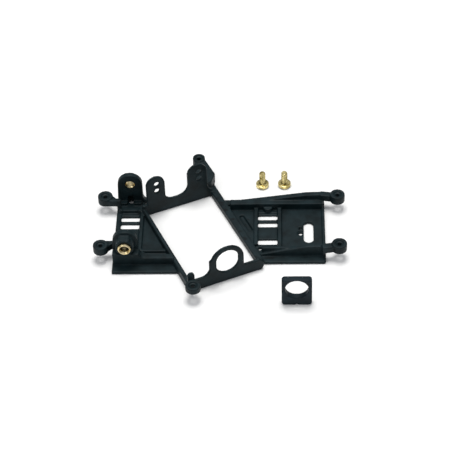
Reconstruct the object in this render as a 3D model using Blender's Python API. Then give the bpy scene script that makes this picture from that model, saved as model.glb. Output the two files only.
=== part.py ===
"""Anglewinder motor mount for a 1/32 slot car, with its axle bushings and loose kit pieces.

One nylon moulding carries the rear axle in two uprights and a motor at an angle in an
open cradle.  Two brass bushings sit in the uprights.  Two brass motor screws and a boss
adapter stand loose beside the moulding, as the kit is laid out.

World frame: +X along the moulding from the axle end, +Y across it, +Z up.  The origin is
on the floor under the centre of the six mounting ears.
"""

import math

import bmesh
import bpy
from mathutils import Matrix, Vector

MM = 0.001

# Base plate.
BASE_THICK = 1.0 * MM
BASE_LEFT = -32.4 * MM
BASE_RIGHT = 31.9 * MM
BASE_CORNER = 0.8 * MM
BASE_NEAR_LEFT = -18.0 * MM
BASE_FAR_LEFT = 15.0 * MM
BASE_STEP = (-24.0 * MM, 9.3 * MM)
BASE_HALF_RIGHT = 14.1 * MM

# Mounting ears on their arms.
EAR_TOP = 5.8 * MM
EAR_THICK = 2.6 * MM
EAR_NEAR_SIDE_THICK = 1.9 * MM
EAR_RADIUS = 2.3 * MM
EAR_HOLE_RADIUS = 1.3 * MM
EAR_RECESS_DEPTH = 0.4 * MM
EAR_BORE_RADIUS = 0.65 * MM
EAR_END_X = 35.9 * MM
EAR_END_Y = 11.0 * MM
EAR_NEAR_SIDE = (-7.5 * MM, -28.45 * MM)
EAR_FAR_SIDE = (-7.4 * MM, 28.75 * MM)
EAR_FAR_SIDE_RADIUS = 1.95 * MM
ARM_TOP = 5.4 * MM
ARM_FRONT_HALF_WIDTH = 1.1 * MM
ARM_FRONT_ROOT = (30.7 * MM, 11.9 * MM)
ARM_AXLE_INNER_Y = 8.8 * MM
ARM_AXLE_OUTER_Y = 12.6 * MM
ARM_AXLE_ROOT_Y = 10.0 * MM
ARM_AXLE_ROOT_X = (-32.2 * MM, -31.0 * MM)
ARM_AXLE_WEB_Y = {"near": 11.3 * MM, "far": 10.3 * MM}

# Rear axle line and the two uprights: plate, hub and the raised pad along each hub.
AXLE_X = -28.25 * MM
AXLE_Z = 8.1 * MM
UPRIGHT_HALF_WIDTH = 3.8 * MM
UPRIGHT_FOOT_SPREAD = 0.3 * MM
UPRIGHT_PLATE_Y = {"near": (-12.5 * MM, -10.7 * MM), "far": (13.1 * MM, 14.9 * MM)}
HUB_END_Y = {"near": -15.2 * MM, "far": 16.1 * MM}
HUB_RADIUS = 2.8 * MM
HUB_PAD_X = (-1.6 * MM, 1.25 * MM)
HUB_PAD_HEIGHT = 2.8 * MM
SEAT_RADIUS = 2.05 * MM
LIP_RADIUS = 1.5 * MM
UPRIGHT_FLARE = 2.6 * MM
PEDESTAL_TOP = 5.2 * MM
PEDESTAL_RIGHT = -24.2 * MM
PEDESTAL_FRONT_Y = -14.8 * MM
SADDLE_HALF_WIDTH = 1.3 * MM
SADDLE_TOP = 5.9 * MM
SET_SCREW_RADIUS = 0.9 * MM
SET_SCREW_Y = {"near": -13.6 * MM, "far": 13.75 * MM}
SET_SCREW_TOP = {"near": 6.3 * MM, "far": 3.6 * MM}

# Bushings: barrel in the seat, ring standing proud outside.
BUSHING_RADIUS = 2.0 * MM
BUSHING_BORE = 1.22 * MM
BUSHING_LENGTH = 3.0 * MM
BUSHING_PROUD = 0.8 * MM
BUSHING_CHAMFER = 0.25 * MM
BUSHING_INNER_CHAMFER = 0.08 * MM
SEAT_GAP = 0.05 * MM

# Motor cradle, turned from the base about the origin.
CRADLE_TURN = math.radians(24.5)
WINDOW_U = (-17.9 * MM, 4.2 * MM)
WINDOW_N = (-19.0 * MM, 16.7 * MM)
CRADLE_PLATE_THICK = 0.9 * MM
LEFT_RAIL_WIDTH = 1.0 * MM
LEFT_RAIL_TOP = 3.0 * MM
RIGHT_RAIL_WIDTH = 2.0 * MM
RIGHT_RAIL_TOP = 2.2 * MM
RIGHT_RAIL_NEAR_N = -18.2 * MM
WINDOW_SKEW = 0.35 * MM
FAR_ARM_ROOT_U = (-1.5 * MM, 2.9 * MM, 4.6 * MM)
FAR_ARM_U = (3.6 * MM, 7.0 * MM, 6.8 * MM)
FAR_ARM_N = (19.2 * MM, 20.5 * MM)
NEAR_ARM_WIDTH = 1.3 * MM
PLATE_LOW = 4.2 * MM
PLATE_FOOT = 0.1 * MM

# Motor end plate with two lobes.
LOBE_CENTRES_U = (-14.25 * MM, -0.4 * MM)
LOBE_RADII = (3.05 * MM, 3.25 * MM)
LOBE_TOP = 14.5 * MM
LOBE_HOLES_U = (-13.85 * MM, 0.1 * MM)
LOBE_HOLES_Z = (8.9 * MM, 11.55 * MM)
LOBE_HOLE_RADIUS = 0.87 * MM
LOBE_FILLET = 3.4 * MM
LOBE_SMALL_FILLET = 2.4 * MM

# Motor front plate with its ring, a little taller than it is wide.
RING_U = -6.2 * MM
RING_Z = 7.75 * MM
RING_RADIUS = 5.3 * MM
RING_STRETCH = 0.35 * MM
RING_HOLE_RADIUS = 3.55 * MM
RING_HOLE_STRETCH = 0.65 * MM
RING_FLAT_U = -11.9 * MM
RING_FLAT_Z = 9.4 * MM
RING_FILLET = 2.6 * MM
RING_PLATE_END_U = 5.5 * MM
RING_PLATE_CORNER = 1.4 * MM
POST_U = -17.9 * MM
POST_RADIUS = 1.1 * MM
POST_TOP = 7.4 * MM

# Side walls of the right half: a level shelf and a rib that rises towards the front ears.
SHELF_Z = 3.4 * MM
SHELF_START_X = {"near": 12.6 * MM, "far": 2.8 * MM}
SHELF_Y = {"near": (-10.6 * MM, -9.6 * MM), "far": (9.2 * MM, 11.5 * MM)}
RIB_START_X = {"near": 12.0 * MM, "far": 1.2 * MM}
RIB_Y = {"near": (-11.4 * MM, -10.3 * MM), "far": (11.1 * MM, 12.9 * MM)}
RIB_HIGH_Z = {"near": 4.5 * MM, "far": 5.1 * MM}
RIB_LOW_Z = 1.5 * MM
RIB_RISE = 0.2 * MM
RIB_FULL_X = 26.0 * MM

# Walls and ribs of the axle end, each as (low y, high y) and its top.
LONG_RIB = (-14.8 * MM, -12.8 * MM, 3.6 * MM)
INNER_RIB = (-9.8 * MM, -8.7 * MM, 1.75 * MM)
POCKET_WALL_X = (-24.9 * MM, -23.9 * MM)
POCKET_BAR_Y = (8.2 * MM, 9.4 * MM)
BAR_PIN_X = (-31.1 * MM, -25.3 * MM)
BAR_PIN_Y = 8.4 * MM
BAR_PIN_RADIUS = 0.55 * MM
BAR_PIN_TOP = 2.2 * MM
FOOT_Y = (11.6 * MM, 13.3 * MM)
FOOT_X = ((-32.4 * MM, -29.3 * MM), (-27.2 * MM, -24.9 * MM))
LOW_WALL_TOP = 1.9 * MM

# Magnet pockets.
POCKET_FLOOR = 0.6 * MM
LEFT_SLOTS_Y = ((4.8 * MM, 6.8 * MM), (1.5 * MM, 3.6 * MM), (-6.0 * MM, -3.9 * MM))
RIGHT_SLOTS_Y = ((5.1 * MM, 7.1 * MM), (1.9 * MM, 3.9 * MM), (-5.9 * MM, -3.7 * MM))
SLOT_CORNER = 0.35 * MM
LEFT_POCKET_X = (-30.9 * MM, -25.2 * MM)
RIGHT_POCKET_X = (11.4 * MM, 17.3 * MM)
POCKET_RIB_TOP = 1.9 * MM
POCKET_RIB_WIDTH = 1.2 * MM
POCKET_MARGIN = 0.05 * MM
POCKET_Y = (-6.8 * MM, 7.7 * MM)

# Oval guide hole near the front end, and small through holes.
OVAL_X = (25.35 * MM, 28.3 * MM)
OVAL_Y = (-5.5 * MM, 3.7 * MM)
PIN_HOLES = ((12.1 * MM, -8.1 * MM), (24.4 * MM, -1.3 * MM), (24.3 * MM, 0.75 * MM))
PIN_HOLE_RADII = (0.65 * MM, 0.6 * MM, 0.5 * MM)
PIN_SINK_RADIUS = 1.05 * MM
WALL_BOSS = (14.4 * MM, 9.2 * MM)
WALL_BOSS_RADIUS = 1.4 * MM
WALL_BOSS_TOP = 2.3 * MM
END_LIP_X = (31.0 * MM, 31.8 * MM)
END_LIP_TOP = 1.5 * MM
DISH_U = (7.7 * MM, 9.1 * MM)
DISH_N = (-4.0 * MM, 3.6 * MM)
DISH_DEPTH = 0.7 * MM

# Motor screws, standing on their heads.
SCREWS = ((12.7 * MM, 21.5 * MM), (19.6 * MM, 21.6 * MM))
SCREW_HEAD_RADIUS = 2.0 * MM
SCREW_HEAD_HEIGHT = 1.3 * MM
SCREW_CROWN = 0.45 * MM
SCREW_SHANK_RADIUS = 0.98 * MM
SCREW_LENGTH = 4.3 * MM
SCREW_SLOT_WIDTH = 0.5 * MM
SCREW_SLOT_DEPTH = 0.55 * MM
SCREW_ROUNDING = 0.75 * MM
SCREW_TIP = 0.3 * MM
SCREW_SIDES = 40
SCREW_TURNS = (math.radians(70), math.radians(20))

# Boss adapter, standing on its lower edge.
ADAPTER_X = 22.9 * MM
ADAPTER_FRONT_Y = -31.2 * MM
ADAPTER_WIDTH = 8.9 * MM
ADAPTER_HEIGHT = 9.95 * MM
ADAPTER_THICK = 2.0 * MM
ADAPTER_CORNER = 1.0 * MM
ADAPTER_HOLE_RADIUS = 3.45 * MM
ADAPTER_HOLE_Z = 6.2 * MM
ADAPTER_NOTCH = 0.4 * MM

# Overlaps between joined shapes, reach of the cutters, and segments of the round shapes.
SUNK = 0.4 * MM
JOIN = 0.6 * MM
THROUGH = 2.0 * MM
FINE = 48
COARSE = 24

# Materials: name, colour, roughness, metallic.
BLACK_NYLON = ("black_nylon", (0.012, 0.016, 0.018), 0.42, 0.0)
ADAPTER_NYLON = ("black_adapter_nylon", (0.012, 0.015, 0.019), 0.4, 0.0)
BEARING_BRASS = ("bearing_brass", (0.78, 0.58, 0.25), 0.3, 1.0)
SCREW_BRASS = ("screw_brass", (0.83, 0.62, 0.16), 0.26, 1.0)

X_AXIS = Vector((1, 0, 0))
Y_AXIS = Vector((0, 1, 0))
Z_AXIS = Vector((0, 0, 1))


def clear_scene():
    for item in list(bpy.data.objects):
        bpy.data.objects.remove(item, do_unlink=True)


def material(name, colour, roughness, metallic):
    made = bpy.data.materials.new(name)
    made.use_nodes = True
    shader = made.node_tree.nodes["Principled BSDF"]
    shader.inputs["Base Color"].default_value = (*colour, 1.0)
    shader.inputs["Roughness"].default_value = roughness
    shader.inputs["Metallic"].default_value = metallic
    return made


def link(name, mesh):
    made = bpy.data.objects.new(name, mesh)
    bpy.context.scene.collection.objects.link(made)
    return made


def from_bmesh(name, bm):
    bmesh.ops.recalc_face_normals(bm, faces=bm.faces)
    mesh = bpy.data.meshes.new(name)
    bm.to_mesh(mesh)
    bm.free()
    return link(name, mesh)


def arc(centre, radius, start, stop, steps):
    """Points on an arc in the outline's own plane, angles in degrees."""
    points = []
    for index in range(steps + 1):
        angle = math.radians(start + (stop - start) * index / steps)
        across = centre[0] + radius * math.cos(angle)
        points.append((across, centre[1] + radius * math.sin(angle)))
    return points


def circle(centre, radius, sides):
    """Closed outline of a full circle, without repeating its first point."""
    return arc(centre, radius, 0, 360 * (sides - 1) / sides, sides - 1)


def extrude_outline(name, outline, origin, across, up, depth):
    """Solid of one outline drawn in the plane of two axes and pushed along their normal."""
    normal = across.cross(up)
    bm = bmesh.new()
    verts = [bm.verts.new(origin + across * a + up * b) for a, b in outline]
    face = bm.faces.new(verts)
    pushed = bmesh.ops.extrude_face_region(bm, geom=[face])
    moved = [item for item in pushed["geom"] if isinstance(item, bmesh.types.BMVert)]
    bmesh.ops.translate(bm, verts=moved, vec=normal * depth)
    return from_bmesh(name, bm)


def prism(name, outline, low, high):
    """Upright prism of a plan outline between two heights."""
    return extrude_outline(name, outline, Z_AXIS * low, X_AXIS, Y_AXIS, high - low)


def block(name, x_range, y_range, z_range):
    (left, right), (near, far) = x_range, y_range
    plan = [(left, near), (right, near), (right, far), (left, far)]
    return prism(name, plan, *z_range)


def rounded_block(name, x_range, y_range, z_range, corner):
    """Block with its four upright edges rounded."""
    return prism(name, rounded_outline(x_range, y_range, corner), *z_range)


def rounded_outline(x_range, y_range, corner, steps=5):
    left, right = x_range[0] + corner, x_range[1] - corner
    low, high = y_range[0] + corner, y_range[1] - corner
    points = arc((right, low), corner, -90, 0, steps)
    points += arc((right, high), corner, 0, 90, steps)
    points += arc((left, high), corner, 90, 180, steps)
    points += arc((left, low), corner, 180, 270, steps)
    return points


def drum(name, centre, radius, low, high, sides=COARSE):
    return prism(name, circle(centre, radius, sides), low, high)


def slab_along_y(name, outline, y_low, y_high):
    """Outline drawn in x and z, filling the moulding between two y positions."""
    return extrude_outline(name, outline, Y_AXIS * y_high, X_AXIS, Z_AXIS, y_high - y_low)


def rod_along_y(name, radius, y_low, y_high):
    """Round bar on the axle line."""
    return slab_along_y(name, circle((AXLE_X, AXLE_Z), radius, FINE), y_low, y_high)


def cradle_axes():
    u_axis = Vector((math.cos(CRADLE_TURN), math.sin(CRADLE_TURN), 0))
    n_axis = Vector((-math.sin(CRADLE_TURN), math.cos(CRADLE_TURN), 0))
    return u_axis, n_axis


def cradle_point(u, n):
    """Plan position of a point given along and across the cradle."""
    u_axis, n_axis = cradle_axes()
    spot = u_axis * u + n_axis * n
    return spot.x, spot.y


def cradle_u_at(u, y):
    """Plan point where a line along the cradle at this u crosses a given y."""
    n = (y - u * math.sin(CRADLE_TURN)) / math.cos(CRADLE_TURN)
    return cradle_point(u, n)


def cradle_plate(name, outline, n_near, thick):
    """Upright plate across the cradle: its outline is drawn along u and up."""
    u_axis, n_axis = cradle_axes()
    return extrude_outline(name, outline, n_axis * (n_near + thick), u_axis, Z_AXIS, thick)


def combine(target, tools, operation):
    """Join the tools to the target or cut them from it, and remove them."""
    group = bpy.data.collections.new(target.name + "_tools")
    for tool in tools:
        group.objects.link(tool)
    modifier = target.modifiers.new(operation.lower(), "BOOLEAN")
    modifier.operation = operation
    modifier.operand_type = "COLLECTION"
    modifier.collection = group
    modifier.solver = "EXACT"
    graph = bpy.context.evaluated_depsgraph_get()
    mesh = bpy.data.meshes.new_from_object(target.evaluated_get(graph))
    target.modifiers.clear()
    target.data = mesh
    for tool in tools:
        bpy.data.objects.remove(tool, do_unlink=True)
    bpy.data.collections.remove(group)


def tidy_mesh(target, sharp_degrees=35):
    """Merge stray points, dissolve flat seams and shade the round faces smooth."""
    bm = bmesh.new()
    bm.from_mesh(target.data)
    bmesh.ops.remove_doubles(bm, verts=bm.verts, dist=0.002 * MM)
    bmesh.ops.dissolve_limit(bm, angle_limit=math.radians(0.5), verts=bm.verts, edges=bm.edges)
    bmesh.ops.triangulate(bm, faces=bm.faces)
    bmesh.ops.recalc_face_normals(bm, faces=bm.faces)
    bm.to_mesh(target.data)
    bm.free()
    target.data.shade_smooth()
    target.data.set_sharp_from_angle(angle=math.radians(sharp_degrees))


def ear_centres():
    """The six ears: four at the ends and two beside the cradle."""
    ends = [(x * EAR_END_X, y * EAR_END_Y) for x in (-1, 1) for y in (-1, 1)]
    return ends, [EAR_NEAR_SIDE, EAR_FAR_SIDE]


def front_arm(name, ear, side):
    """Straight bar from a front ear to the end of its side wall."""
    start = Vector(ear)
    stop = Vector((ARM_FRONT_ROOT[0], side * ARM_FRONT_ROOT[1]))
    along = (stop - start).normalized()
    across = Vector((-along.y, along.x)) * ARM_FRONT_HALF_WIDTH
    plan = [start - across, stop - across, stop + across, start + across]
    return prism(name, [(spot.x, spot.y) for spot in plan], EAR_TOP - EAR_THICK, ARM_TOP)


def axle_arm(name, side, label):
    """Tapering bar from an axle-end ear, with the upright web that ties it to the base."""
    outer = side * ARM_AXLE_OUTER_Y
    inner = side * ARM_AXLE_INNER_Y
    left, right = ARM_AXLE_ROOT_X
    ear_x = EAR_RADIUS / 2 - EAR_END_X
    plan = [(-EAR_END_X, inner), (right, inner), (right, side * ARM_AXLE_ROOT_Y)]
    plan += [(left, side * ARM_AXLE_ROOT_Y), (ear_x, outer), (-EAR_END_X, outer)]
    web_y = sorted((inner, side * ARM_AXLE_WEB_Y[label]))
    return [
        prism(name, plan, EAR_TOP - EAR_THICK, ARM_TOP),
        block(name + "_web", ARM_AXLE_ROOT_X, web_y, (SUNK, ARM_TOP)),
    ]


def ears_and_arms():
    pieces = []
    low = EAR_TOP - EAR_THICK
    ends, (near, far) = ear_centres()
    for index, ear in enumerate(ends):
        side = math.copysign(1, ear[1])
        pieces.append(drum(f"ear_{index}", ear, EAR_RADIUS, low, EAR_TOP))
        if ear[0] > 0:
            pieces.append(front_arm(f"ear_arm_{index}", ear, side))
        else:
            label = "near" if side < 0 else "far"
            pieces += axle_arm(f"ear_arm_{index}", side, label)
    pieces.append(drum("ear_near_side", near, EAR_RADIUS, EAR_TOP - EAR_NEAR_SIDE_THICK, EAR_TOP))
    pieces.append(drum("ear_far_side", far, EAR_FAR_SIDE_RADIUS, RIGHT_RAIL_TOP, EAR_TOP))
    return pieces


def ear_holes():
    """Stepped screw hole of each ear: a shallow seat and a through bore."""
    seats = []
    bores = []
    ends, sides = ear_centres()
    step = EAR_TOP - EAR_RECESS_DEPTH
    for index, centre in enumerate(ends + sides):
        seats.append(drum(f"ear_seat_{index}", centre, EAR_HOLE_RADIUS, step, EAR_TOP + THROUGH))
        bores.append(drum(f"ear_bore_{index}", centre, EAR_BORE_RADIUS, -THROUGH, EAR_TOP + 2 * THROUGH))
    return seats, bores


def left_base():
    """Plate under the axle end, up to the cradle's left rail."""
    rail = WINDOW_U[0] - LEFT_RAIL_WIDTH / 2
    plan = [
        (BASE_LEFT, BASE_NEAR_LEFT),
        cradle_u_at(rail, BASE_NEAR_LEFT),
        cradle_point(rail, WINDOW_N[1] + JOIN),
        BASE_STEP,
        (BASE_STEP[0], BASE_FAR_LEFT),
        (BASE_LEFT, BASE_FAR_LEFT),
    ]
    return prism("left_base", plan, 0, BASE_THICK)


def right_base():
    """Plate of the front half, from the cradle's right rail to the front end."""
    rail = WINDOW_U[1] + RIGHT_RAIL_WIDTH / 2
    inset_x = BASE_RIGHT - BASE_CORNER
    inset_y = BASE_HALF_RIGHT - BASE_CORNER
    plan = [cradle_u_at(rail, -BASE_HALF_RIGHT)]
    plan += arc((inset_x, -inset_y), BASE_CORNER, -90, 0, 5)
    plan += arc((inset_x, inset_y), BASE_CORNER, 0, 90, 5)
    plan.append(cradle_u_at(rail, BASE_HALF_RIGHT))
    return prism("right_base", plan, 0, BASE_THICK)


def upright(side):
    """Round-topped plate, flared into the base, with a hub and a flat pad along the hub's top."""
    spread = UPRIGHT_FOOT_SPREAD
    left, right = AXLE_X - UPRIGHT_HALF_WIDTH, AXLE_X + UPRIGHT_HALF_WIDTH
    foot = BASE_THICK + UPRIGHT_FLARE
    outline = [(left - spread, SUNK), (right + UPRIGHT_FLARE, SUNK)]
    outline += arc((right + UPRIGHT_FLARE, foot), UPRIGHT_FLARE, 270, 180, 8)
    outline += arc((AXLE_X, AXLE_Z), UPRIGHT_HALF_WIDTH, 0, 180, FINE // 2)
    low, high = UPRIGHT_PLATE_Y[side]
    pieces = [slab_along_y(f"upright_{side}", outline, low, high)]
    hub_low, hub_high = sorted((HUB_END_Y[side], (low + high) / 2))
    pieces.append(rod_along_y(f"hub_{side}", HUB_RADIUS, hub_low, hub_high))
    pad_x = (AXLE_X + HUB_PAD_X[0], AXLE_X + HUB_PAD_X[1])
    pad_y = (hub_low + BUSHING_CHAMFER, hub_high - BUSHING_CHAMFER)
    pieces.append(block(f"hub_pad_{side}", pad_x, pad_y, (AXLE_Z, AXLE_Z + HUB_PAD_HEIGHT)))
    return pieces


def pedestal():
    """Solid foot under the near hub, running down into the long rib, with a saddle up to the hub."""
    left = AXLE_X - UPRIGHT_HALF_WIDTH - UPRIGHT_FOOT_SPREAD / 2
    rib_top = LONG_RIB[2]
    fillet = PEDESTAL_TOP - rib_top
    outline = [(left, SUNK), (PEDESTAL_RIGHT + fillet, SUNK), (PEDESTAL_RIGHT + fillet, rib_top)]
    outline += arc((PEDESTAL_RIGHT + fillet, PEDESTAL_TOP), fillet, 270, 180, 8)
    outline.append((left, PEDESTAL_TOP))
    y_range = (PEDESTAL_FRONT_Y, UPRIGHT_PLATE_Y["near"][0] + JOIN)
    saddle_x = (AXLE_X - SADDLE_HALF_WIDTH, AXLE_X + SADDLE_HALF_WIDTH)
    return [
        slab_along_y("pedestal", outline, *y_range),
        block("saddle", saddle_x, y_range, (PEDESTAL_TOP - SUNK, SADDLE_TOP)),
    ]


def upright_cutters(side):
    """Bushing seat from the outside, the smaller hole behind it and the set-screw hole below."""
    low, high = UPRIGHT_PLATE_Y[side]
    outward = -1 if side == "near" else 1
    inner = high if side == "near" else low
    end = HUB_END_Y[side]
    seat_start = end + outward * (BUSHING_PROUD - BUSHING_LENGTH - SEAT_GAP)
    seat = rod_along_y(f"seat_{side}", SEAT_RADIUS, *sorted((seat_start, end + outward * THROUGH)))
    bore_ends = sorted((inner - outward * THROUGH, end + outward * THROUGH))
    bore = rod_along_y(f"lip_{side}", LIP_RADIUS, *bore_ends)
    spot = (AXLE_X, SET_SCREW_Y[side])
    screw_hole = drum(f"set_screw_hole_{side}", spot, SET_SCREW_RADIUS, -THROUGH, SET_SCREW_TOP[side])
    return seat, bore, screw_hole


def left_details():
    """Walls and ribs of the axle end."""
    pieces = []
    rail = WINDOW_U[0] - LEFT_RAIL_WIDTH / 2
    start = POCKET_WALL_X[0]
    for name, (y_low, y_high, top) in (("long_rib", LONG_RIB), ("inner_rib", INNER_RIB)):
        plan = [(start, y_low), cradle_u_at(rail, y_low), cradle_u_at(rail, y_high), (start, y_high)]
        pieces.append(prism(name, plan, SUNK, top))
    wall_y = (INNER_RIB[0] + SUNK, POCKET_Y[1] + SUNK)
    pieces.append(block("pocket_wall_left", POCKET_WALL_X, wall_y, (SUNK, POCKET_RIB_TOP)))
    bar_x = (BASE_LEFT + 2 * JOIN, POCKET_WALL_X[0] + JOIN)
    pieces.append(block("pocket_bar_left", bar_x, POCKET_BAR_Y, (SUNK, LOW_WALL_TOP)))
    for index, x in enumerate(BAR_PIN_X):
        pieces.append(drum(f"bar_pin_{index}", (x, BAR_PIN_Y), BAR_PIN_RADIUS, SUNK, BAR_PIN_TOP, 12))
    for index, x_range in enumerate(FOOT_X):
        pieces.append(block(f"foot_{index}", x_range, FOOT_Y, (SUNK, LOW_WALL_TOP)))
    return pieces


def cradle_rails():
    """The two rails beside the motor, and the arms out to the two side ears."""
    u_axis, n_axis = cradle_axes()
    near_n, far_n = WINDOW_N[0] - CRADLE_PLATE_THICK, WINDOW_N[1] + CRADLE_PLATE_THICK
    left, right = WINDOW_U
    left_outer, right_outer = left - LEFT_RAIL_WIDTH, right + RIGHT_RAIL_WIDTH
    left_plan = [
        cradle_point(left_outer, near_n),
        cradle_point(left + WINDOW_SKEW, near_n),
        cradle_point(left, far_n),
        cradle_point(left_outer, far_n),
    ]
    root_n, step_n = FAR_ARM_N
    arm_left, arm_right, arm_end = FAR_ARM_U
    right_plan = [
        cradle_point(right, near_n),
        cradle_point(RING_PLATE_END_U - JOIN, near_n),
        cradle_point(RING_PLATE_END_U - JOIN, near_n + CRADLE_PLATE_THICK),
        cradle_point(right_outer, RIGHT_RAIL_NEAR_N),
        cradle_point(right_outer, root_n),
        cradle_point(arm_right, step_n + JOIN),
        cradle_point(arm_left, step_n + JOIN),
        cradle_point(right - WINDOW_SKEW, far_n),
    ]
    pieces = [prism("left_rail", left_plan, 0, LEFT_RAIL_TOP)]
    pieces.append(prism("right_rail", right_plan, 0, RIGHT_RAIL_TOP))
    reach_n = Vector(EAR_NEAR_SIDE).dot(n_axis.xy)
    profile = [
        (near_n + 2 * JOIN, PLATE_FOOT),
        (near_n + 2 * JOIN, LEFT_RAIL_TOP),
        (reach_n + 2 * JOIN, ARM_TOP),
        (reach_n, ARM_TOP),
        (reach_n, EAR_TOP - EAR_NEAR_SIDE_THICK),
    ]
    pieces.append(extrude_outline("near_arm", profile, u_axis * left_outer, n_axis, Z_AXIS, NEAR_ARM_WIDTH))
    end_n = Vector(EAR_FAR_SIDE).dot(n_axis.xy)
    plate_n = WINDOW_N[1] + CRADLE_PLATE_THICK / 2
    root_left, root_middle, root_right = FAR_ARM_ROOT_U
    arm_plan = [(root_left, plate_n), (root_middle, plate_n)]
    arm_plan += [(root_right, far_n + PLATE_FOOT), (arm_right, step_n)]
    arm_plan += [(arm_end, end_n), (arm_left, end_n)]
    arm_plan = [cradle_point(u, n) for u, n in arm_plan]
    pieces.append(prism("far_arm", arm_plan, RIGHT_RAIL_TOP - SUNK, ARM_TOP))
    return pieces


def lobe_plate():
    """Motor end plate: a low wall with two tall lobes and a round-footed gap between them."""
    left_u, right_u = WINDOW_U[0] - LEFT_RAIL_WIDTH, WINDOW_U[1] + RIGHT_RAIL_WIDTH
    first, second = LOBE_CENTRES_U
    first_radius, second_radius = LOBE_RADII
    end_u = right_u - PLATE_FOOT
    slope = end_u - second - second_radius
    outline = [(left_u, PLATE_FOOT), (end_u, PLATE_FOOT)]
    outline += arc((end_u, RIGHT_RAIL_TOP - PLATE_FOOT + slope), slope, 270, 180, 10)
    outline += arc((second, LOBE_TOP - second_radius), second_radius, 0, 180, COARSE)
    foot = (second - second_radius - LOBE_FILLET, PLATE_LOW + LOBE_FILLET)
    outline += arc(foot, LOBE_FILLET, 0, -90, 10)
    small = LOBE_SMALL_FILLET
    outline += arc((first + first_radius + small, PLATE_LOW + small), small, 270, 180, 6)
    outline += arc((first, LOBE_TOP - first_radius), first_radius, 0, 180, COARSE)
    outline += [(first - first_radius, PLATE_LOW), (left_u, PLATE_LOW)]
    return cradle_plate("lobe_plate", outline, WINDOW_N[1], CRADLE_PLATE_THICK)


def stretched_circle(radius, stretch, start, stop, steps):
    """Arc round the ring's centre: a circle cut in two and pulled apart up and down."""
    points = []
    for u, z in arc((RING_U, RING_Z), radius, start, stop, steps):
        shift = math.copysign(stretch, z - RING_Z) if z != RING_Z else 0
        points.append((u, z + shift))
    return points


def ring_plate():
    """Motor front plate: a low wall, the bearing ring and a small post by the corner."""
    corner = RING_PLATE_CORNER
    start_u = WINDOW_U[0] - LEFT_RAIL_WIDTH / 2
    outline = [(start_u, PLATE_FOOT)]
    outline += arc((RING_PLATE_END_U - corner, PLATE_FOOT + corner), corner, -90, 0, 6)
    outline += [(RING_PLATE_END_U, PLATE_LOW - 2 * JOIN), (RING_PLATE_END_U - 2 * JOIN, PLATE_LOW)]
    outline += arc((RING_U + RING_RADIUS + JOIN, PLATE_LOW + JOIN), JOIN, 270, 180, 4)
    outline += stretched_circle(RING_RADIUS, RING_STRETCH, 0, 160, FINE // 2)
    outline.append((RING_FLAT_U, RING_FLAT_Z))
    outline += arc((RING_FLAT_U - RING_FILLET, PLATE_LOW + RING_FILLET), RING_FILLET, 0, -90, 8)
    outline.append((start_u, PLATE_LOW))
    near = WINDOW_N[0] - CRADLE_PLATE_THICK
    pieces = [cradle_plate("ring_plate", outline, near, CRADLE_PLATE_THICK)]
    post = [(POST_U - POST_RADIUS, PLATE_FOOT), (POST_U + POST_RADIUS, PLATE_FOOT)]
    post += arc((POST_U, POST_TOP - POST_RADIUS), POST_RADIUS, 0, 180, 12)
    pieces.append(cradle_plate("post", post, near, CRADLE_PLATE_THICK))
    return pieces


def plate_holes():
    """Motor screw holes of the lobes and the round hole of the ring."""
    cutters = []
    thick = CRADLE_PLATE_THICK + 2 * THROUGH
    for index, u in enumerate(LOBE_HOLES_U):
        for level, z in enumerate(LOBE_HOLES_Z):
            outline = circle((u, z), LOBE_HOLE_RADIUS, COARSE)
            name = f"lobe_hole_{index}_{level}"
            cutters.append(cradle_plate(name, outline, WINDOW_N[1] - THROUGH, thick))
    step = 360 / FINE
    ends = (step / 2, 360 - step / 2)
    outline = stretched_circle(RING_HOLE_RADIUS, RING_HOLE_STRETCH, *ends, FINE - 1)
    near = WINDOW_N[0] - CRADLE_PLATE_THICK - THROUGH
    cutters.append(cradle_plate("ring_hole", outline, near, thick))
    return cutters


def right_walls():
    """Side walls of the front half."""
    pieces = []
    end_x = BASE_RIGHT - JOIN
    for side in ("near", "far"):
        shelf_x = (SHELF_START_X[side], end_x)
        pieces.append(block(f"shelf_{side}", shelf_x, SHELF_Y[side], (SUNK, SHELF_Z)))
        profile = [
            (RIB_START_X[side], SUNK),
            (end_x, SUNK),
            (end_x, RIB_HIGH_Z[side] + RIB_RISE),
            (RIB_FULL_X, RIB_HIGH_Z[side]),
            (RIB_START_X[side], RIB_LOW_Z),
        ]
        pieces.append(slab_along_y(f"rib_{side}", profile, *RIB_Y[side]))
    return pieces


def right_details():
    """Pocket ribs, the wall boss and the low lip at the front end."""
    pieces = []
    near_y, far_y = SHELF_Y["near"][1] - SUNK, SHELF_Y["far"][0] + SUNK
    first_x = RIGHT_POCKET_X[0] - POCKET_RIB_WIDTH
    second_x = RIGHT_POCKET_X[1] + 2 * POCKET_MARGIN
    for name, x, low in (("rib_left", first_x, POCKET_Y[0] - SUNK), ("rib_right", second_x, near_y)):
        x_range = (x, x + POCKET_RIB_WIDTH)
        pieces.append(block(f"pocket_{name}", x_range, (low, far_y), (SUNK, POCKET_RIB_TOP)))
    pieces.append(drum("wall_boss", WALL_BOSS, WALL_BOSS_RADIUS, SUNK, WALL_BOSS_TOP))
    pieces.append(block("end_lip", END_LIP_X, (near_y, far_y), (SUNK, END_LIP_TOP)))
    return pieces


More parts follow.
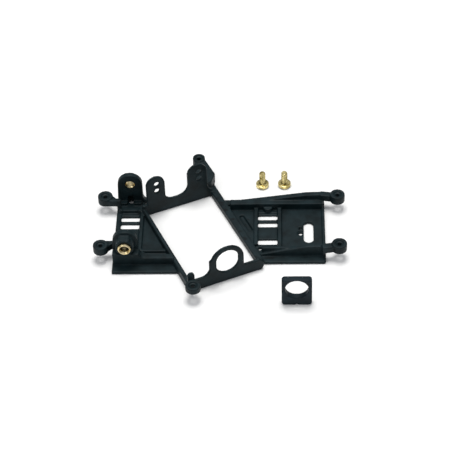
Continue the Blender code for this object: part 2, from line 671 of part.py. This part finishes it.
def pocket_floors():
    """Sunk floors of the magnet pockets, the dish beside the rail and the sink round one pin hole."""
    cutters = []
    for label, (left, right) in (("left", LEFT_POCKET_X), ("right", RIGHT_POCKET_X)):
        x_range = (left - POCKET_MARGIN, right + POCKET_MARGIN)
        z_range = (POCKET_FLOOR, BASE_THICK + THROUGH)
        cutters.append(block(f"pocket_{label}", x_range, POCKET_Y, z_range))
    outline = rounded_outline(DISH_U, DISH_N, (DISH_U[1] - DISH_U[0]) / 2 - POCKET_MARGIN)
    plan = [cradle_point(u, n) for u, n in outline]
    cutters.append(prism("dish", plan, BASE_THICK - DISH_DEPTH, BASE_THICK + THROUGH))
    cutters.append(drum("pin_sink", PIN_HOLES[1], PIN_SINK_RADIUS, POCKET_FLOOR, BASE_THICK + THROUGH))
    return cutters


def base_holes():
    """Magnet slots, the oval guide hole and the small through holes of the base."""
    cutters = []
    span = (-THROUGH, THROUGH)
    sides = (("left", LEFT_POCKET_X, LEFT_SLOTS_Y), ("right", RIGHT_POCKET_X, RIGHT_SLOTS_Y))
    for label, pocket, slots in sides:
        for index, y_range in enumerate(slots):
            cutters.append(rounded_block(f"slot_{label}_{index}", pocket, y_range, span, SLOT_CORNER))
    radius = (OVAL_X[1] - OVAL_X[0]) / 2 - POCKET_MARGIN
    cutters.append(rounded_block("oval", OVAL_X, OVAL_Y, span, radius))
    for index, (spot, radius) in enumerate(zip(PIN_HOLES, PIN_HOLE_RADII)):
        cutters.append(drum(f"pin_hole_{index}", spot, radius, *span, 12))
    return cutters


def motor_mount_frame(nylon):
    """The whole moulding."""
    frame = left_base()
    joined = [right_base(), lobe_plate()] + pedestal() + ring_plate()
    joined += upright("near") + upright("far") + cradle_rails()
    joined += left_details() + right_walls() + right_details() + ears_and_arms()
    combine(frame, joined, "UNION")
    ear_seats, ear_bores = ear_holes()
    near_seat, near_bore, near_screw = upright_cutters("near")
    far_seat, far_bore, far_screw = upright_cutters("far")
    combine(frame, pocket_floors() + plate_holes() + ear_seats + [near_seat, far_seat], "DIFFERENCE")
    combine(frame, base_holes() + ear_bores + [near_bore, far_bore], "DIFFERENCE")
    combine(frame, [near_screw, far_screw], "DIFFERENCE")
    tidy_mesh(frame)
    frame.name = "motor_mount_frame"
    frame.data.name = frame.name
    frame.data.materials.append(nylon)
    return frame


def turned(name, profile, sides):
    """Round piece spun from a closed profile of (radius, height) points about its own Z."""
    bm = bmesh.new()
    rings = []
    for radius, height in profile:
        spots = circle((0, 0), radius, sides)
        rings.append([bm.verts.new((x, y, height)) for x, y in spots])
    for lower, upper in zip(rings, rings[1:] + rings[:1]):
        for index in range(sides):
            after = (index + 1) % sides
            bm.faces.new((lower[index], lower[after], upper[after], upper[index]))
    return from_bmesh(name, bm)


def axle_bushing(side, brass):
    """Plain bearing with chamfered edges; its origin is on the axle line at its inner end."""
    inner = BUSHING_BORE + BUSHING_INNER_CHAMFER
    profile = [
        (inner, 0),
        (BUSHING_RADIUS - BUSHING_CHAMFER, 0),
        (BUSHING_RADIUS, BUSHING_CHAMFER),
        (BUSHING_RADIUS, BUSHING_LENGTH - BUSHING_CHAMFER),
        (BUSHING_RADIUS - BUSHING_CHAMFER, BUSHING_LENGTH),
        (inner, BUSHING_LENGTH),
        (BUSHING_BORE, BUSHING_LENGTH - BUSHING_INNER_CHAMFER),
        (BUSHING_BORE, BUSHING_INNER_CHAMFER),
    ]
    outward = -1 if side == "near" else 1
    bushing = turned(f"axle_bushing_{side}", profile, FINE)
    turn = Z_AXIS.rotation_difference(Y_AXIS * outward).to_matrix().to_4x4()
    bushing.data.transform(turn)
    tidy_mesh(bushing)
    start_y = HUB_END_Y[side] + outward * (BUSHING_PROUD - BUSHING_LENGTH)
    bushing.location = (AXLE_X, start_y, AXLE_Z)
    bushing.data.materials.append(brass)
    return bushing


def motor_screw(name, centre, turn, brass):
    """Slotted pan-head screw standing on its head, shank up."""
    flat = SCREW_HEAD_RADIUS - SCREW_ROUNDING
    outline = [(0, 0), (flat, 0)]
    for index in range(1, 6):
        angle = math.radians(90 * index / 5)
        outline.append((flat + SCREW_ROUNDING * math.sin(angle), SCREW_CROWN * (1 - math.cos(angle))))
    top = SCREW_HEAD_HEIGHT + SCREW_LENGTH
    outline += [
        (SCREW_HEAD_RADIUS, SCREW_HEAD_HEIGHT),
        (SCREW_SHANK_RADIUS, SCREW_HEAD_HEIGHT),
        (SCREW_SHANK_RADIUS, top - SCREW_TIP),
        (SCREW_SHANK_RADIUS - SCREW_TIP, top),
        (0, top),
    ]
    bm = bmesh.new()
    verts = [bm.verts.new((radius, 0, height)) for radius, height in outline]
    edges = [bm.edges.new(pair) for pair in zip(verts, verts[1:])]
    whole = {"cent": (0, 0, 0), "axis": Z_AXIS, "angle": 2 * math.pi, "steps": SCREW_SIDES}
    bmesh.ops.spin(bm, geom=verts + edges, use_merge=True, **whole)
    bmesh.ops.remove_doubles(bm, verts=bm.verts, dist=0.001 * MM)
    screw = from_bmesh(name, bm)
    half = SCREW_SLOT_WIDTH / 2
    reach = SCREW_HEAD_RADIUS + THROUGH
    slot = block(name + "_slot", (-reach, reach), (-half, half), (-THROUGH, SCREW_SLOT_DEPTH))
    combine(screw, [slot], "DIFFERENCE")
    screw.data.transform(Matrix.Rotation(turn, 4, "Z"))
    tidy_mesh(screw)
    screw.location = (centre[0], centre[1], 0)
    screw.data.materials.append(brass)
    return screw


def boss_adapter(nylon):
    """Square plate with a large round hole, standing on its lower edge."""
    half = ADAPTER_WIDTH / 2
    back = ADAPTER_FRONT_Y + ADAPTER_THICK
    origin = Vector((ADAPTER_X, back, 0))
    outline = rounded_outline((-half, half), (0, ADAPTER_HEIGHT), ADAPTER_CORNER)
    plate = extrude_outline("boss_adapter", outline, origin, X_AXIS, Z_AXIS, ADAPTER_THICK)
    through = origin + Y_AXIS * THROUGH
    depth = ADAPTER_THICK + 2 * THROUGH
    hole = circle((0, ADAPTER_HOLE_Z), ADAPTER_HOLE_RADIUS, FINE)
    cutters = [extrude_outline("adapter_hole", hole, through, X_AXIS, Z_AXIS, depth)]
    for index, spot in enumerate(((0, 0), (-half, ADAPTER_HOLE_Z))):
        notch = circle(spot, ADAPTER_NOTCH, 12)
        cutters.append(extrude_outline(f"adapter_notch_{index}", notch, through, X_AXIS, Z_AXIS, depth))
    combine(plate, cutters, "DIFFERENCE")
    tidy_mesh(plate)
    plate.data.materials.append(nylon)
    return plate


def main():
    clear_scene()
    nylon = material(*BLACK_NYLON)
    adapter_nylon = material(*ADAPTER_NYLON)
    bearing_brass = material(*BEARING_BRASS)
    screw_brass = material(*SCREW_BRASS)
    motor_mount_frame(nylon)
    axle_bushing("near", bearing_brass)
    axle_bushing("far", bearing_brass)
    for index, (centre, turn) in enumerate(zip(SCREWS, SCREW_TURNS)):
        motor_screw(f"motor_screw_{index + 1}", centre, turn, screw_brass)
    boss_adapter(adapter_nylon)


main()
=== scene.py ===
"""Studio picture of a slot car motor mount: black moulding, brass bushings, screws and adapter."""

import math

import bmesh
import bpy
from mathutils import Matrix, Vector


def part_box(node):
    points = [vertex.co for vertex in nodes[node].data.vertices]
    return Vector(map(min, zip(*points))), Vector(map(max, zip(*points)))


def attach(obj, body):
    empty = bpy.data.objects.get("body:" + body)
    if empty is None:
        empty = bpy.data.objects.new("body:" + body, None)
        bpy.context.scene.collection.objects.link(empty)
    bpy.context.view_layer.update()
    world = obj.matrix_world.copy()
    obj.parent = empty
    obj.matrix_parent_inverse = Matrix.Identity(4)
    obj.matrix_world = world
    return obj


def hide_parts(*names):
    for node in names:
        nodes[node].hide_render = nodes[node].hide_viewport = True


MM = 0.001

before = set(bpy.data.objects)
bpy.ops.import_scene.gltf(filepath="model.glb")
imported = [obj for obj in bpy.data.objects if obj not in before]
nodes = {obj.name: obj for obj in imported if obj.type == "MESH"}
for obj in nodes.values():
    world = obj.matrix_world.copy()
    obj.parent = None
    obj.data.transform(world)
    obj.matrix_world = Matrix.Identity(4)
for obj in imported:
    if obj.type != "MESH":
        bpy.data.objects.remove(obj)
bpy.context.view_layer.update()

# Camera: the photograph's angle, down on the mount from just right of its middle.
CAMERA_TARGET = (2.45 * MM, 1.716 * MM, 0.0)
CAMERA_ELEVATION = math.radians(42.887)
CAMERA_TURN = math.radians(-2.246)
CAMERA_ROLL = math.radians(-1.928)
CAMERA_DISTANCE = 542.42 * MM
CAMERA_LENS = 138.70
CAMERA_SENSOR = 36.0
CAMERA_CLIP = (0.01, 10.0)

# Room: where its walls end and its ceiling starts, up a unit sphere, and their colours.
ROOM_WALL_TOP = 0.1
ROOM_WALL = (0.12, 0.12, 0.125)
ROOM_CEILING_START = 0.75
ROOM_CEILING = (0.62, 0.63, 0.65)
FLOOR_SIZE = 4.0
FLOOR_HEIGHT = -0.02 * MM

# Lamps: name, place, size, power and colour.
LAMPS = (
    ("overhead", (0.0, 0.12, 0.7), (0.3, 0.3), 3.4, (1.0, 0.99, 0.97)),
    ("front_left", (-0.5, -0.4, 0.55), (0.35, 0.35), 0.8, (0.97, 0.98, 1.0)),
)

# Materials: cells per metre of each pattern.
FLOOR_CLOUDS = 6.0
NYLON_CLOUDS = 260.0
NYLON_GRAIN = 5200.0
BRASS_PATCHES = 600.0
BRASS_RINGS = 2600.0
# Painted shade: the share of the colour left at each sharpness of fold; nylon is painted darker on its
# edges, brass in its grooves.
NYLON_EDGE_PAINTED_SHADE = ((0.52, 1.0), (0.58, 0.35))
BRASS_GROOVE_PAINTED_SHADE = ((0.38, 0.15), (0.49, 1.0))

# Edge rounding of the mouldings: cell size, smoothing passes and the share of faces kept.
MOULD_VOXEL = 0.17 * MM
MOULD_SMOOTHING = 4
MOULD_KEEP = 0.35

# Brass screws, standing on their slotted heads: M2 coarse thread, slot and rounded head.
HEAD_RADIUS = 2.0 * MM
HEAD_HEIGHT = 1.3 * MM
HEAD_CROWN = 0.45 * MM
HEAD_ROUNDING = 0.75 * MM
HEAD_STEPS = 8
HEAD_EDGE = 0.12 * MM
EDGE_BEND = 0.3
SHANK_RADIUS = 0.98 * MM
SHANK_NECK = 0.3 * MM
SHANK_TIP = 0.35 * MM
TIP_TAPER = 0.7
THREAD_PITCH = 0.4 * MM
THREAD_DEPTH = 0.17 * MM
THREAD_FLANK = 1.6
THREAD_AT_TIP = 0.35
THREAD_ROWS = 10
SLOT_WIDTH = 0.5 * MM
SLOT_DEPTH = 0.55 * MM
SCREW_SIDES = 64
SCREW_CREASE = math.radians(40)
SCREW_TURNS = (math.radians(70), math.radians(20))

# Brass bushings: the bore, the depth of its funnel mouth, the flat ring round it and its edges.
BUSHING_BORE = 1.22 * MM
BUSHING_MOUTH = 0.55 * MM
BUSHING_FACE = 0.2 * MM
BUSHING_CHAMFER = 0.25 * MM
BUSHING_EDGE = 0.04 * MM
BUSHING_SIDES = 96
BUSHING_CREASE = math.radians(30)


def make_camera():
    down = math.cos(CAMERA_ELEVATION)
    direction = Vector((
        math.sin(CAMERA_TURN) * down,
        math.cos(CAMERA_TURN) * down,
        -math.sin(CAMERA_ELEVATION),
    ))
    data = bpy.data.cameras.new("camera")
    data.sensor_width = CAMERA_SENSOR
    data.lens = CAMERA_LENS
    data.clip_start, data.clip_end = CAMERA_CLIP
    camera = bpy.data.objects.new("camera", data)
    bpy.context.scene.collection.objects.link(camera)
    camera.location = Vector(CAMERA_TARGET) - direction * CAMERA_DISTANCE
    turn = direction.to_track_quat("-Z", "Y").to_matrix() @ Matrix.Rotation(CAMERA_ROLL, 3, "Z")
    camera.rotation_euler = turn.to_euler()
    bpy.context.scene.camera = camera


def make_light(name, location, size, power, colour):
    data = bpy.data.lights.new(name, "AREA")
    data.shape = "RECTANGLE"
    data.size, data.size_y = size
    data.energy = power
    data.color = colour
    lamp = bpy.data.objects.new(name, data)
    bpy.context.scene.collection.objects.link(lamp)
    lamp.location = location
    lamp.rotation_euler = (-Vector(location)).to_track_quat("-Z", "Y").to_euler()


def make_studio():
    """White floor under soft lamps, in a room that darkens towards its walls."""
    world = bpy.data.worlds.new("studio")
    bpy.context.scene.world = world
    world.use_nodes = True
    tree = world.node_tree
    height = tree.nodes.new("ShaderNodeSeparateXYZ")
    place = tree.nodes.new("ShaderNodeTexCoord")
    tree.links.new(place.outputs["Generated"], height.inputs["Vector"])
    ramp = tree.nodes.new("ShaderNodeValToRGB")
    wall, ceiling = ramp.color_ramp.elements
    wall.position, wall.color = ROOM_WALL_TOP, (*ROOM_WALL, 1.0)
    ceiling.position, ceiling.color = ROOM_CEILING_START, (*ROOM_CEILING, 1.0)
    tree.links.new(height.outputs["Z"], ramp.inputs["Fac"])
    tree.links.new(ramp.outputs["Color"], tree.nodes["Background"].inputs["Color"])
    for name, location, size, power, colour in LAMPS:
        make_light(name, location, size, power, colour)
    bpy.context.scene.view_settings.view_transform = "Standard"
    bpy.ops.mesh.primitive_plane_add(size=FLOOR_SIZE, location=(0, 0, FLOOR_HEIGHT))
    floor = bpy.context.object
    floor.name = "floor"
    floor.data.materials.append(floor_material())


class Shader:
    """A node material being built, with its Principled shader."""

    def __init__(self, name):
        self.material = bpy.data.materials.new(name)
        self.material.use_nodes = True
        self.tree = self.material.node_tree
        self.base = self.tree.nodes["Principled BSDF"]
        self.place = self.tree.nodes.new("ShaderNodeTexCoord").outputs["Object"]

    def node(self, kind, **values):
        made = self.tree.nodes.new(kind)
        for key, value in values.items():
            if key in made.inputs:
                made.inputs[key].default_value = value
            else:
                setattr(made, key, value)
        return made

    def join(self, source, target):
        self.tree.links.new(source, target)

    def noise(self, scale, detail=4.0, roughness=0.6):
        made = self.node("ShaderNodeTexNoise", Scale=scale, Detail=detail, Roughness=roughness)
        self.join(self.place, made.inputs["Vector"])
        return made.outputs["Fac"]

    def ramp(self, source, stops):
        made = self.node("ShaderNodeValToRGB")
        points = made.color_ramp.elements
        for point, (at, colour) in zip(points, stops):
            point.position = at
            point.color = (*colour, 1.0)
        self.join(source, made.inputs["Fac"])
        return made.outputs["Color"]

    def span(self, source, low, high):
        made = self.node("ShaderNodeMapRange")
        made.inputs["To Min"].default_value = low
        made.inputs["To Max"].default_value = high
        self.join(source, made.inputs["Value"])
        return made.outputs["Result"]

    def painted_fold_shade(self, colour, stops):
        """The colour with painted shade, darkened by how the surface folds: under 0.5 is a groove,
        over it an edge.
        """
        fold = self.node("ShaderNodeNewGeometry").outputs["Pointiness"]
        shade = self.ramp(fold, [(at, (share,) * 3) for at, share in stops])
        mix = self.node("ShaderNodeMix", data_type="RGBA", blend_type="MULTIPLY")
        mix.inputs["Factor"].default_value = 1.0
        self.join(colour, mix.inputs[6])
        self.join(shade, mix.inputs[7])
        return mix.outputs[2]

    def bump(self, source, strength, distance, after=None):
        made = self.node("ShaderNodeBump", Strength=strength, Distance=distance)
        self.join(source, made.inputs["Height"])
        if after is not None:
            self.join(after, made.inputs["Normal"])
        return made.outputs["Normal"]


def floor_material():
    shader = Shader("floor_white")
    clouds = shader.noise(FLOOR_CLOUDS, 3.0)
    colour = shader.ramp(clouds, [(0.3, (0.93, 0.93, 0.92)), (0.7, (0.95, 0.95, 0.945))])
    shader.join(colour, shader.base.inputs["Base Color"])
    shader.base.inputs["Roughness"].default_value = 0.9
    shader.base.inputs["Specular IOR Level"].default_value = 0.1
    return shader.material


def nylon_material(name, dark, light):
    """Black moulded nylon: faint cloudy sheen, fine eroded grain and painted shade darkening its
    edges.
    """
    shader = Shader(name)
    clouds = shader.noise(NYLON_CLOUDS, 4.0, 0.55)
    grain = shader.noise(NYLON_GRAIN, 3.0, 0.65)
    colour = shader.ramp(clouds, [(0.32, dark), (0.7, light)])
    # Painted shade: the colour is darkened on the convex edges.
    shader.join(shader.painted_fold_shade(colour, NYLON_EDGE_PAINTED_SHADE), shader.base.inputs["Base Color"])
    shader.join(shader.span(clouds, 0.4, 0.56), shader.base.inputs["Roughness"])
    fine = shader.bump(grain, 0.3, 0.03 * MM)
    waves = shader.bump(clouds, 0.25, 0.1 * MM, fine)
    shader.join(waves, shader.base.inputs["Normal"])
    shader.base.inputs["Specular IOR Level"].default_value = 0.14
    return shader.material


def brass_material(name, dark, light, roughness, rings_along):
    """Turned brass: fine tool rings across the turning axis, tarnished patches, painted shade
    darkening its grooves.
    """
    shader = Shader(name)
    patches = shader.noise(BRASS_PATCHES, 3.0, 0.55)
    colour = shader.ramp(patches, [(0.35, dark), (0.62, light)])
    # Painted shade: the colour is darkened in the grooves and hollows.
    shader.join(shader.painted_fold_shade(colour, BRASS_GROOVE_PAINTED_SHADE), shader.base.inputs["Base Color"])
    rings = shader.node("ShaderNodeTexWave", Scale=BRASS_RINGS, Distortion=0.6, Detail=2.0)
    rings.bands_direction = rings_along
    shader.join(shader.place, rings.inputs["Vector"])
    low, high = roughness
    shader.join(shader.span(patches, high, low), shader.base.inputs["Roughness"])
    shader.join(shader.bump(rings.outputs["Fac"], 0.2, 0.02 * MM), shader.base.inputs["Normal"])
    shader.base.inputs["Metallic"].default_value = 1.0
    return shader.material


def paint(piece, material):
    piece.data.materials.clear()
    piece.data.materials.append(material)


def mould(piece):
    """Gives a moulding the small radius that every moulded edge has."""
    remesh = piece.modifiers.new("mould_radius", "REMESH")
    remesh.mode = "VOXEL"
    remesh.voxel_size = MOULD_VOXEL
    remesh.use_smooth_shade = True
    smooth = piece.modifiers.new("mould_smooth", "SMOOTH")
    smooth.factor = 0.5
    smooth.iterations = MOULD_SMOOTHING
    thin = piece.modifiers.new("mould_thin", "DECIMATE")
    thin.ratio = MOULD_KEEP


def link_mesh(name, bm):
    mesh = bpy.data.meshes.new(name)
    bmesh.ops.recalc_face_normals(bm, faces=bm.faces)
    bm.to_mesh(mesh)
    bm.free()
    piece = bpy.data.objects.new(name, mesh)
    bpy.context.scene.collection.objects.link(piece)
    return piece


def join_loops(bm, loops):
    """Skins each loop of points to the next one."""
    for lower, upper in zip(loops, loops[1:]):
        for side in range(len(lower)):
            after = (side + 1) % len(lower)
            bm.faces.new((lower[side], lower[after], upper[after], upper[side]))


def thread_radius(height, angle, start, stop):
    """Radius of the shank: a sharp-crested helix that runs out at the neck and at the tip."""
    phase = (height / THREAD_PITCH - angle / (2 * math.pi)) % 1
    crest = 1 - abs(2 * phase - 1)
    fade = min(1, (height - start) / SHANK_NECK, (stop - height) / SHANK_TIP + THREAD_AT_TIP)
    groove = THREAD_DEPTH * max(0, 1 - THREAD_FLANK * crest)
    chamfer = max(0, SHANK_TIP - (stop - height)) * TIP_TAPER
    return SHANK_RADIUS - groove * max(0, fade) - chamfer


def screw_rings(length):
    """Radius and height of each ring up the screw, and where its thread starts.

    A ring with no radius takes it from the thread."""
    rings = []
    flat = HEAD_RADIUS - HEAD_ROUNDING
    for index in range(HEAD_STEPS + 1):
        turn = math.radians(90 * index / HEAD_STEPS)
        radius = flat + HEAD_ROUNDING * math.sin(turn)
        rings.append((radius, HEAD_CROWN * (1 - math.cos(turn))))
    rings += [
        (HEAD_RADIUS, HEAD_HEIGHT - HEAD_EDGE),
        (HEAD_RADIUS - EDGE_BEND * HEAD_EDGE, HEAD_HEIGHT - EDGE_BEND * HEAD_EDGE),
        (HEAD_RADIUS - HEAD_EDGE, HEAD_HEIGHT),
        (SHANK_RADIUS + HEAD_EDGE, HEAD_HEIGHT),
        (SHANK_RADIUS + EDGE_BEND * HEAD_EDGE, HEAD_HEIGHT + EDGE_BEND * HEAD_EDGE),
    ]
    rows = round((length - HEAD_HEIGHT - HEAD_EDGE) / THREAD_PITCH * THREAD_ROWS)
    start = HEAD_HEIGHT + HEAD_EDGE
    for row in range(rows + 1):
        rings.append((None, start + (length - start) * row / rows))
    return rings, start


def threaded_screw(name, node, turn):
    """Pan-head screw with a cut thread, over the plain screw of the CAD."""
    low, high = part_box(node)
    length = high.z - low.z
    centre = (low + high) / 2
    rings, start = screw_rings(length)
    bm = bmesh.new()
    loops = []
    for fixed, height in rings:
        loop = []
        for side in range(SCREW_SIDES):
            angle = 2 * math.pi * side / SCREW_SIDES
            radius = fixed if fixed is not None else thread_radius(height, angle, start, length)
            loop.append(bm.verts.new((radius * math.cos(angle), radius * math.sin(angle), height)))
        loops.append(loop)
    join_loops(bm, loops)
    bm.faces.new(loops[0][::-1])
    bm.faces.new(loops[-1])
    screw = link_mesh(name, bm)
    cut_slot(screw)
    place = Matrix.Translation((centre.x, centre.y, low.z))
    screw.data.transform(place @ Matrix.Rotation(turn, 4, "Z"))
    screw.data.shade_smooth()
    screw.data.set_sharp_from_angle(angle=SCREW_CREASE)
    return screw


def turned_bushing(name, node):
    """Bushing turned about the axle line, with a funnel mouth at both ends of its bore."""
    low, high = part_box(node)
    radius = (high.x - low.x) / 2
    half = (high.y - low.y) / 2
    face = radius - BUSHING_CHAMFER
    mouth = face - BUSHING_FACE
    end = [
        (BUSHING_BORE, half - BUSHING_MOUTH),
        (mouth, half - BUSHING_EDGE),
        (mouth + BUSHING_EDGE, half),
        (face, half),
        (radius, half - BUSHING_CHAMFER),
    ]
    bm = bmesh.new()
    loops = []
    for reach, along in end + [(reach, -along) for reach, along in reversed(end)]:
        angles = (2 * math.pi * side / BUSHING_SIDES for side in range(BUSHING_SIDES))
        loops.append([bm.verts.new((reach * math.cos(a), along, reach * math.sin(a))) for a in angles])
    join_loops(bm, loops + loops[:1])
    bushing = link_mesh(name, bm)
    bushing.data.transform(Matrix.Translation((low + high) / 2))
    bushing.data.shade_smooth()
    bushing.data.set_sharp_from_angle(angle=BUSHING_CREASE)
    return bushing


def cut_slot(screw):
    """Cuts the driver slot across the head."""
    bm = bmesh.new()
    bmesh.ops.create_cube(bm, size=1.0)
    size = (3 * HEAD_RADIUS, SLOT_WIDTH, 2 * SLOT_DEPTH)
    bmesh.ops.scale(bm, vec=size, verts=bm.verts)
    cutter = link_mesh("slot_cutter", bm)
    cut = screw.modifiers.new("slot", "BOOLEAN")
    cut.operation = "DIFFERENCE"
    cut.solver = "EXACT"
    cut.object = cutter
    graph = bpy.context.evaluated_depsgraph_get()
    mesh = bpy.data.meshes.new_from_object(screw.evaluated_get(graph))
    screw.modifiers.clear()
    screw.data = mesh
    bpy.data.objects.remove(cutter, do_unlink=True)


make_camera()
make_studio()

nylon = nylon_material("moulded_nylon", dark=(0.0035, 0.0085, 0.010), light=(0.010, 0.022, 0.026))
adapter_nylon = nylon_material(
    "adapter_nylon", dark=(0.0035, 0.0085, 0.012), light=(0.010, 0.021, 0.029))
bearing = brass_material(
    "bearing_brass", dark=(0.60, 0.47, 0.22), light=(0.90, 0.76, 0.46),
    roughness=(0.18, 0.34), rings_along="Y")
screw_brass = brass_material(
    "screw_brass", dark=(0.22, 0.17, 0.03), light=(0.92, 0.78, 0.37),
    roughness=(0.12, 0.24), rings_along="Z")

paint(nodes["motor_mount_frame"], nylon)
mould(nodes["motor_mount_frame"])
paint(nodes["boss_adapter"], adapter_nylon)
mould(nodes["boss_adapter"])
for side in ("near", "far"):
    bushing = turned_bushing(f"turned_bushing_{side}", f"axle_bushing_{side}")
    paint(bushing, bearing)
    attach(bushing, f"bushing_{side}")
    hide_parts(f"axle_bushing_{side}")
for number, turn in enumerate(SCREW_TURNS, 1):
    screw = threaded_screw(f"threaded_screw_{number}", f"motor_screw_{number}", turn)
    paint(screw, screw_brass)
    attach(screw, f"screw_{number}")
    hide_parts(f"motor_screw_{number}")
